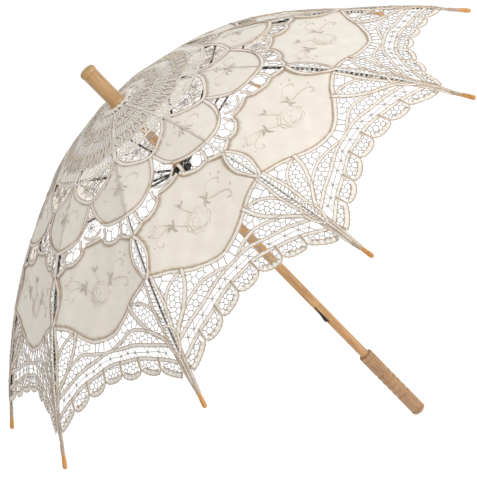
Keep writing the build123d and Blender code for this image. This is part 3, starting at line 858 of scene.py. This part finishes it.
def node(tree, kind, **values):
    made = tree.nodes.new(kind)
    for key, value in values.items():
        if key in made.inputs:
            made.inputs[key].default_value = value
        else:
            setattr(made, key, value)
    return made


def dial(shader, values):
    for key, value in values.items():
        shader.inputs[key].default_value = value


def ramp(tree, factor, stops):
    made = tree.nodes.new("ShaderNodeValToRGB")
    for element, (place, colour) in zip(made.color_ramp.elements, (stops[0], stops[-1])):
        element.position = place
        element.color = (*colour, 1)
    for place, colour in stops[1:-1]:
        made.color_ramp.elements.new(place).color = (*colour, 1)
    tree.links.new(factor, made.inputs["Fac"])
    return made.outputs["Color"]


def waves(pitch):
    """The wave texture's scale for waves this far apart, in metres."""
    return 0.31 / pitch / 2


def coloured(tree, shader, factor, stops):
    tree.links.new(ramp(tree, factor, stops), shader.inputs["Base Color"])


def raised(tree, shader, height, strength, distance):
    """Fine relief in the surface."""
    relief = node(tree, "ShaderNodeBump", Strength=strength, Distance=distance)
    tree.links.new(height, relief.inputs["Height"])
    tree.links.new(relief.outputs["Normal"], shader.inputs["Normal"])


def shining(tree, shader, factor, low, high):
    """Roughness that varies between two values."""
    shine = node(tree, "ShaderNodeMapRange")
    dial(shine, {"To Min": low, "To Max": high})
    tree.links.new(factor, shine.inputs["Value"])
    tree.links.new(shine.outputs["Result"], shader.inputs["Roughness"])


def fabric(name, dark, light, weave=0.0007, bump=0.25):
    """Cotton: a plain weave in the gore's own directions, cloudy colour and a soft sheen."""
    m, tree, shader = material(name, 0.85)
    dial(shader, {"Sheen Weight": 0.35, "Sheen Roughness": 0.5, "Specular IOR Level": 0.25,
                  "Subsurface Weight": 0.12, "Subsurface Radius": (0.002, 0.0016, 0.0012),
                  "Subsurface Scale": 1.0})
    place = node(tree, "ShaderNodeAttribute", attribute_name="weave")
    cloud = node(tree, "ShaderNodeTexNoise", Scale=55.0, Detail=4.0, Roughness=0.6)
    tree.links.new(place.outputs["Vector"], cloud.inputs["Vector"])
    coloured(tree, shader, cloud.outputs["Fac"], [(0.3, dark), (0.7, light)])
    warp_way = node(tree, "ShaderNodeTexWave", Scale=waves(weave), Distortion=0.6)
    weft_way = node(tree, "ShaderNodeTexWave", Scale=waves(weave), Distortion=0.6, bands_direction="Y")
    both = node(tree, "ShaderNodeMath", operation="MULTIPLY")
    for wave, slot in ((warp_way, 0), (weft_way, 1)):
        tree.links.new(place.outputs["Vector"], wave.inputs["Vector"])
        tree.links.new(wave.outputs["Fac"], both.inputs[slot])
    raised(tree, shader, both.outputs[0], bump, 0.0002)
    return m


def twisted(name, dark, light, turns=0.0011, bump=0.5, sheen=0.3, roughness=0.75):
    """Cotton thread or cord: slanting plies and cloudy colour."""
    m, tree, shader = material(name, roughness)
    dial(shader, {"Sheen Weight": sheen, "Specular IOR Level": 0.3})
    place = node(tree, "ShaderNodeAttribute", attribute_name="weave")
    cloud = node(tree, "ShaderNodeTexNoise", Scale=160.0, Detail=3.0)
    plies = node(tree, "ShaderNodeTexWave", Scale=waves(turns), Distortion=1.5,
                 bands_direction="DIAGONAL")
    for made in (cloud, plies):
        tree.links.new(place.outputs["Vector"], made.inputs["Vector"])
    coloured(tree, shader, cloud.outputs["Fac"], [(0.3, dark), (0.7, light)])
    raised(tree, shader, plies.outputs["Fac"], bump, 0.0003)
    return m


def wood(name, dark, middle, light, roughness=0.38):
    """Turned wood with the grain along the shaft, under a thin varnish."""
    m, tree, shader = material(name, roughness)
    dial(shader, {"Coat Weight": 0.25, "Coat Roughness": 0.3})
    place = node(tree, "ShaderNodeTexCoord")
    grain_space = node(tree, "ShaderNodeMapping", Scale=(1.0, 1.0, 0.06))
    tree.links.new(place.outputs["Object"], grain_space.inputs["Vector"])
    grain = node(tree, "ShaderNodeTexNoise", Scale=420.0, Detail=6.0, Roughness=0.65, Distortion=0.8)
    pores = node(tree, "ShaderNodeTexNoise", Scale=1900.0, Detail=2.0)
    blotch = node(tree, "ShaderNodeTexNoise", Scale=35.0, Detail=2.0)
    for made in (grain, pores):
        tree.links.new(grain_space.outputs["Vector"], made.inputs["Vector"])
    tree.links.new(place.outputs["Object"], blotch.inputs["Vector"])
    mixed = node(tree, "ShaderNodeMath", operation="MULTIPLY_ADD")
    mixed.inputs[1].default_value = 0.35
    tree.links.new(blotch.outputs["Fac"], mixed.inputs[0])
    tree.links.new(grain.outputs["Fac"], mixed.inputs[2])
    coloured(tree, shader, mixed.outputs[0], [(0.45, dark), (0.66, middle), (0.85, light)])
    shining(tree, shader, grain.outputs["Fac"], roughness - 0.08, roughness + 0.16)
    raised(tree, shader, pores.outputs["Fac"], 0.3, 0.0002)
    return m


def metal(name, dark, light, roughness, metallic, scale=500.0):
    """Wire and sheet metal or moulded nylon: worn patches and fine scratches."""
    m, tree, shader = material(name, roughness, metallic)
    place = node(tree, "ShaderNodeTexCoord")
    wear = node(tree, "ShaderNodeTexNoise", Scale=scale, Detail=5.0, Roughness=0.7)
    tree.links.new(place.outputs["Object"], wear.inputs["Vector"])
    coloured(tree, shader, wear.outputs["Fac"], [(0.35, dark), (0.75, light)])
    shining(tree, shader, wear.outputs["Fac"], roughness - 0.1, roughness + 0.2)
    raised(tree, shader, wear.outputs["Fac"], 0.12, 0.0001)
    return m


FINISHES = {
    "cloth": fabric("ecru_batiste", (0.755, 0.695, 0.605), (0.815, 0.76, 0.67)),
    "lace": fabric("ecru_gathered_lace", (0.74, 0.675, 0.585), (0.85, 0.80, 0.725), 0.0016, 0.5),
    "tape": twisted("cream_tape", (0.77, 0.72, 0.645), (0.87, 0.835, 0.775)),
    # Tan cord colour for the tapes' edge cords and the rib ends' binding; in the hem's gathers it is also
    # painted shade in the fold.
    "edge": twisted("tan_cord_and_painted_fold_shade", (0.42, 0.305, 0.21), (0.57, 0.445, 0.33)),
    "thread": twisted("grey_brown_thread", (0.34, 0.30, 0.26), (0.50, 0.455, 0.40), 0.0007),
    "outline": twisted("ecru_outline_thread", (0.64, 0.55, 0.44), (0.75, 0.665, 0.555), 0.0006, 0.3),
    "floss": twisted("taupe_floss", (0.47, 0.405, 0.325), (0.60, 0.54, 0.45), 0.0006, 0.5, 0.5, 0.5),
}
SHAFT_WOOD = wood("honey_shaft_wood", (0.31, 0.145, 0.052), (0.475, 0.25, 0.094), (0.59, 0.34, 0.145))
HANDLE_WOOD = wood("brown_handle_wood", (0.22, 0.115, 0.05), (0.385, 0.215, 0.10), (0.50, 0.305, 0.155),
                   0.5)
FERRULE_WOOD = wood("tan_ferrule_wood", (0.34, 0.19, 0.078), (0.51, 0.305, 0.128), (0.62, 0.395, 0.185))
TIP_WOOD = wood("golden_tip_wood", (0.33, 0.135, 0.026), (0.54, 0.24, 0.05), (0.66, 0.34, 0.09))
BLACK_STEEL = metal("black_enamelled_steel", (0.012, 0.012, 0.014), (0.045, 0.043, 0.042), 0.35, 0.5)
BRIGHT_STEEL = metal("bright_steel", (0.45, 0.45, 0.46), (0.72, 0.71, 0.70), 0.28, 1.0)
BLACK_NYLON = metal("black_nylon", (0.014, 0.014, 0.015), (0.035, 0.035, 0.036), 0.5, 0.0, 900.0)

NODE_FINISH = {
    "shaft": SHAFT_WOOD, "handle": HANDLE_WOOD, "ferrule": FERRULE_WOOD,
    "crown_notch": BLACK_NYLON, "runner_head": BLACK_NYLON, "runner_tube": BLACK_STEEL,
    "stop_pin": BRIGHT_STEEL, "crown_wire": BRIGHT_STEEL, "runner_wire": BRIGHT_STEEL,
    "lower_catch": BLACK_STEEL, "upper_catch": BLACK_STEEL,
    "lower_catch_pin": BRIGHT_STEEL, "upper_catch_pin": BRIGHT_STEEL,
}


def dress_frame():
    """Gives every CAD node that shows its finish."""
    for name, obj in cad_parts.items():
        if name.startswith("canopy_panel") or name == "crown_disc":
            continue
        if name.startswith("rib_tip"):
            finish = TIP_WOOD
        elif name.startswith(("rib_", "stretcher_")):
            finish = BLACK_STEEL
        else:
            finish = NODE_FINISH[name]
        obj.data.materials.clear()
        obj.data.materials.append(finish)
        for face in obj.data.polygons:
            face.material_index = 0


# ---- assembly --------------------------------------------------------------------------------

DRAWINGS = {"gathers": gathers(), "rings": crown_rings(), "upper_cloth": upper_cloth(),
            "upper_lace": upper_lace(), "window_band": window_band(), "rose_cloth": rose_cloth(),
            "rose_lace": rose_lace(), "border_lace": border_lace(), "hem_lace": hem_lace()}


def make_gore(number):
    angle = (number - 1) * STEP + HALF
    phases = RNG.uniform(0, 2 * math.pi, 4)
    body = f"canopy_{number:02d}"
    for part, flat in DRAWINGS.items():
        laid = lay(warp(np.vstack(flat.points), phases), angle)
        obj = build(f"gore_{number:02d}_{part}", [(flat, laid)])
        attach(obj, body)
        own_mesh(obj)
    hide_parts(f"canopy_panel_{number:02d}")


def make_seam(number):
    """The lace along one rib, which moves with the rib."""
    angle = (number - 1) * STEP
    right, left, line = Flat(), Flat(), Flat()
    seam_half(right, -1)
    seam_half(left, 1)
    seam_cover(line, -1)
    parts = [(flat, lay(np.vstack(flat.points), angle + turn))
             for flat, turn in ((right, HALF), (left, -HALF), (line, HALF))]
    obj = build(f"seam_{number:02d}_lace", parts)
    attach(obj, f"rib_{number:02d}")
    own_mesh(obj)


COLLAR = (11.4, 24.0)           # radii of the lace collar


def make_rosette():
    """The ruched collar of lace round the foot of the ferrule."""
    flat = Flat()
    turns, rows = 240, 9
    a = np.linspace(0, 2 * math.pi, turns, endpoint=False)
    tt, aa = np.meshgrid(np.linspace(0, 1, rows), a, indexing="ij")
    radius = COLLAR[0] + (COLLAR[1] - COLLAR[0]) * tt
    pleats = (0.3 + 0.9 * tt) * np.sin(aa * 20 + 2 * np.sin(aa * 3))
    height = 0.5 + 2.6 * np.sin(tt * math.pi * 0.85) - 1.2 * tt + pleats
    top = np.stack([radius * np.cos(aa), radius * np.sin(aa), height], -1).reshape(-1, 3)
    faces = quads(rows, turns, closed=True).reshape(-1, 4)[:, [0, 3, 2, 1]]
    thicken(flat, top, faces, RUCHE_THICK, "lace")
    points = np.vstack(flat.points)
    laid = (points + [0, 0, CROWN_Z]) * MM
    obj = build("crown_rosette", [(flat, laid)])
    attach(obj, "shaft_and_handle")
    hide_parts("crown_disc")


dress_frame()
for gore_number in range(1, GORES + 1):
    make_gore(gore_number)
    make_seam(gore_number)
make_rosette()

# ---- camera, floor and light -------------------------------------------------------------------

# How the shaft lies in the picture: its lean from upright, its tilt towards the camera, where
# the crown is from the camera (right, down and away, mm), and how the ribs are turned.
LEAN = math.radians(45.33)
TILT = math.radians(19.80)
CROWN_FROM_CAMERA = Vector((-149.2, -182.3, 2256.3)) * MM
RIB_TURN = math.radians(7.01)
FOCAL = 131.0
SENSOR = 36.0


def make_camera():
    up = Vector((-math.cos(LEAN) * math.cos(TILT), -math.sin(LEAN) * math.cos(TILT), -math.sin(TILT)))
    across = Vector((math.sin(LEAN), -math.cos(LEAN), 0))
    view = Matrix((across, up.cross(across), up)).transposed()
    place = view.transposed() @ -CROWN_FROM_CAMERA
    axes = Matrix((view[0], -view[1], -view[2])).transposed()
    turn = Matrix.Rotation(RIB_TURN, 4, "Z")
    data = bpy.data.cameras.new("camera")
    data.lens = FOCAL
    data.sensor_width = SENSOR
    data.clip_end = 20
    camera = place_object("camera", data)
    crown = Matrix.Translation((0, 0, CROWN_Z * MM))
    camera.matrix_world = crown @ turn @ (Matrix.Translation(place) @ axes.to_4x4())
    bpy.context.scene.camera = camera
    return camera


def soft_light(name, place, size, power, target):
    data = bpy.data.lights.new(name, "AREA")
    data.shape = "DISK"
    data.size = size
    data.energy = power
    light = place_object(name, data)
    light.location = place
    light.rotation_mode = "QUATERNION"
    light.rotation_quaternion = (target - place).to_track_quat("-Z", "Y")


def make_floor(height):
    """A pale floor that glows a little, so that it stays light under the canopy."""
    mesh = bpy.data.meshes.new("floor")
    reach = 12.0
    mesh.from_pydata([(-reach, -reach, height), (reach, -reach, height), (reach, reach, height),
                      (-reach, reach, height)], [], [(0, 1, 2, 3)])
    floor = place_object("floor", mesh)
    m, tree, shader = material("pale_floor", 0.9)
    dial(shader, {"Base Color": (0.86, 0.86, 0.86, 1), "Emission Color": (1, 1, 1, 1),
                  "Emission Strength": 0.5})
    mesh.materials.append(m)


camera = make_camera()
target = Vector((0, 0, 0.42))
axes = camera.matrix_world.to_3x3()
right, above, behind = axes.col[0], axes.col[1], axes.col[2]
key_way = (right * 0.75 + above * 0.9 + behind * 1.2).normalized()
fill_way = (-right * 1.0 + above * 0.3 + behind * 1.2).normalized()
soft_light("key", target + key_way * 2.2, 1.4, 20.5, target)
soft_light("fill", target + fill_way * 2.6, 1.8, 8, target)
make_floor(cad_box[0].z)
world = bpy.data.worlds.new("studio")
world.use_nodes = True
dial(world.node_tree.nodes["Background"], {"Color": (1, 1, 1, 1), "Strength": 0.6})
bpy.context.scene.world = world
bpy.context.scene.view_settings.view_transform = "Standard"
